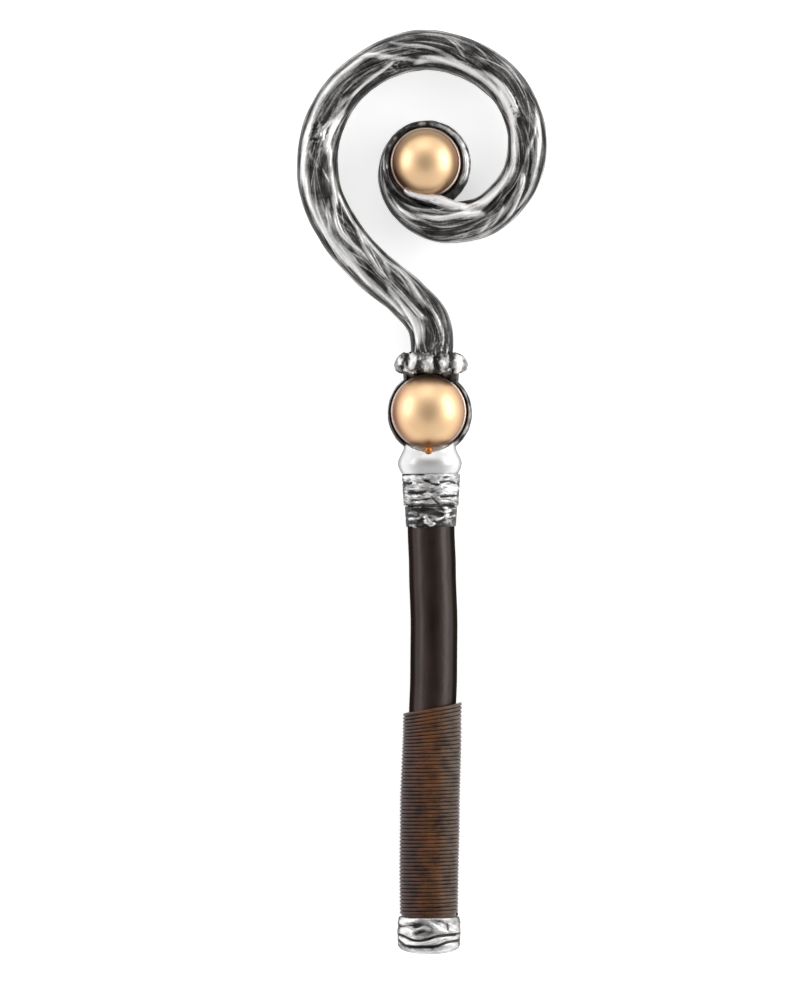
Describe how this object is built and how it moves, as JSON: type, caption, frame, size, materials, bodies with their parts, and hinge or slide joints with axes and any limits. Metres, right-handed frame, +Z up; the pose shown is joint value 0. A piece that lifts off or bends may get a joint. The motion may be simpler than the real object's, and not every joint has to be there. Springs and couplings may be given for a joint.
{
  "type": "crook sceptre",
  "caption": "Costume crook sceptre: silvered curling head with golden domes and a beaded collar, on a dark shaft with a cord-bound grip and a silvered butt cap.",
  "frame": {"origin": "on the surface that the staff lies on, under the middle of its box", "axes": "+Y from the butt to the crook, +X to the side that the loop's far turn lies on, +Z up out of the front, where the golden domes are"},
  "size_m": [0.1444, 0.5314, 0.042],
  "materials": {
    "antiqued_silver": "moulded plastic, black ground with silver dry-brushed over the raised grain",
    "satin_gold": "satin gold paint",
    "dark_lacquer": "dark brown satin lacquer",
    "brown_cord": "thin glossy round cord, wound close"
  },
  "bodies": {
    "root": {"crook_head": "antiqued_silver", "curl_orb": "satin_gold", "neck_orb": "satin_gold", "shaft": "dark_lacquer", "grip_binding": "brown_cord", "butt_cap": "antiqued_silver"}
  },
  "joints": []
}
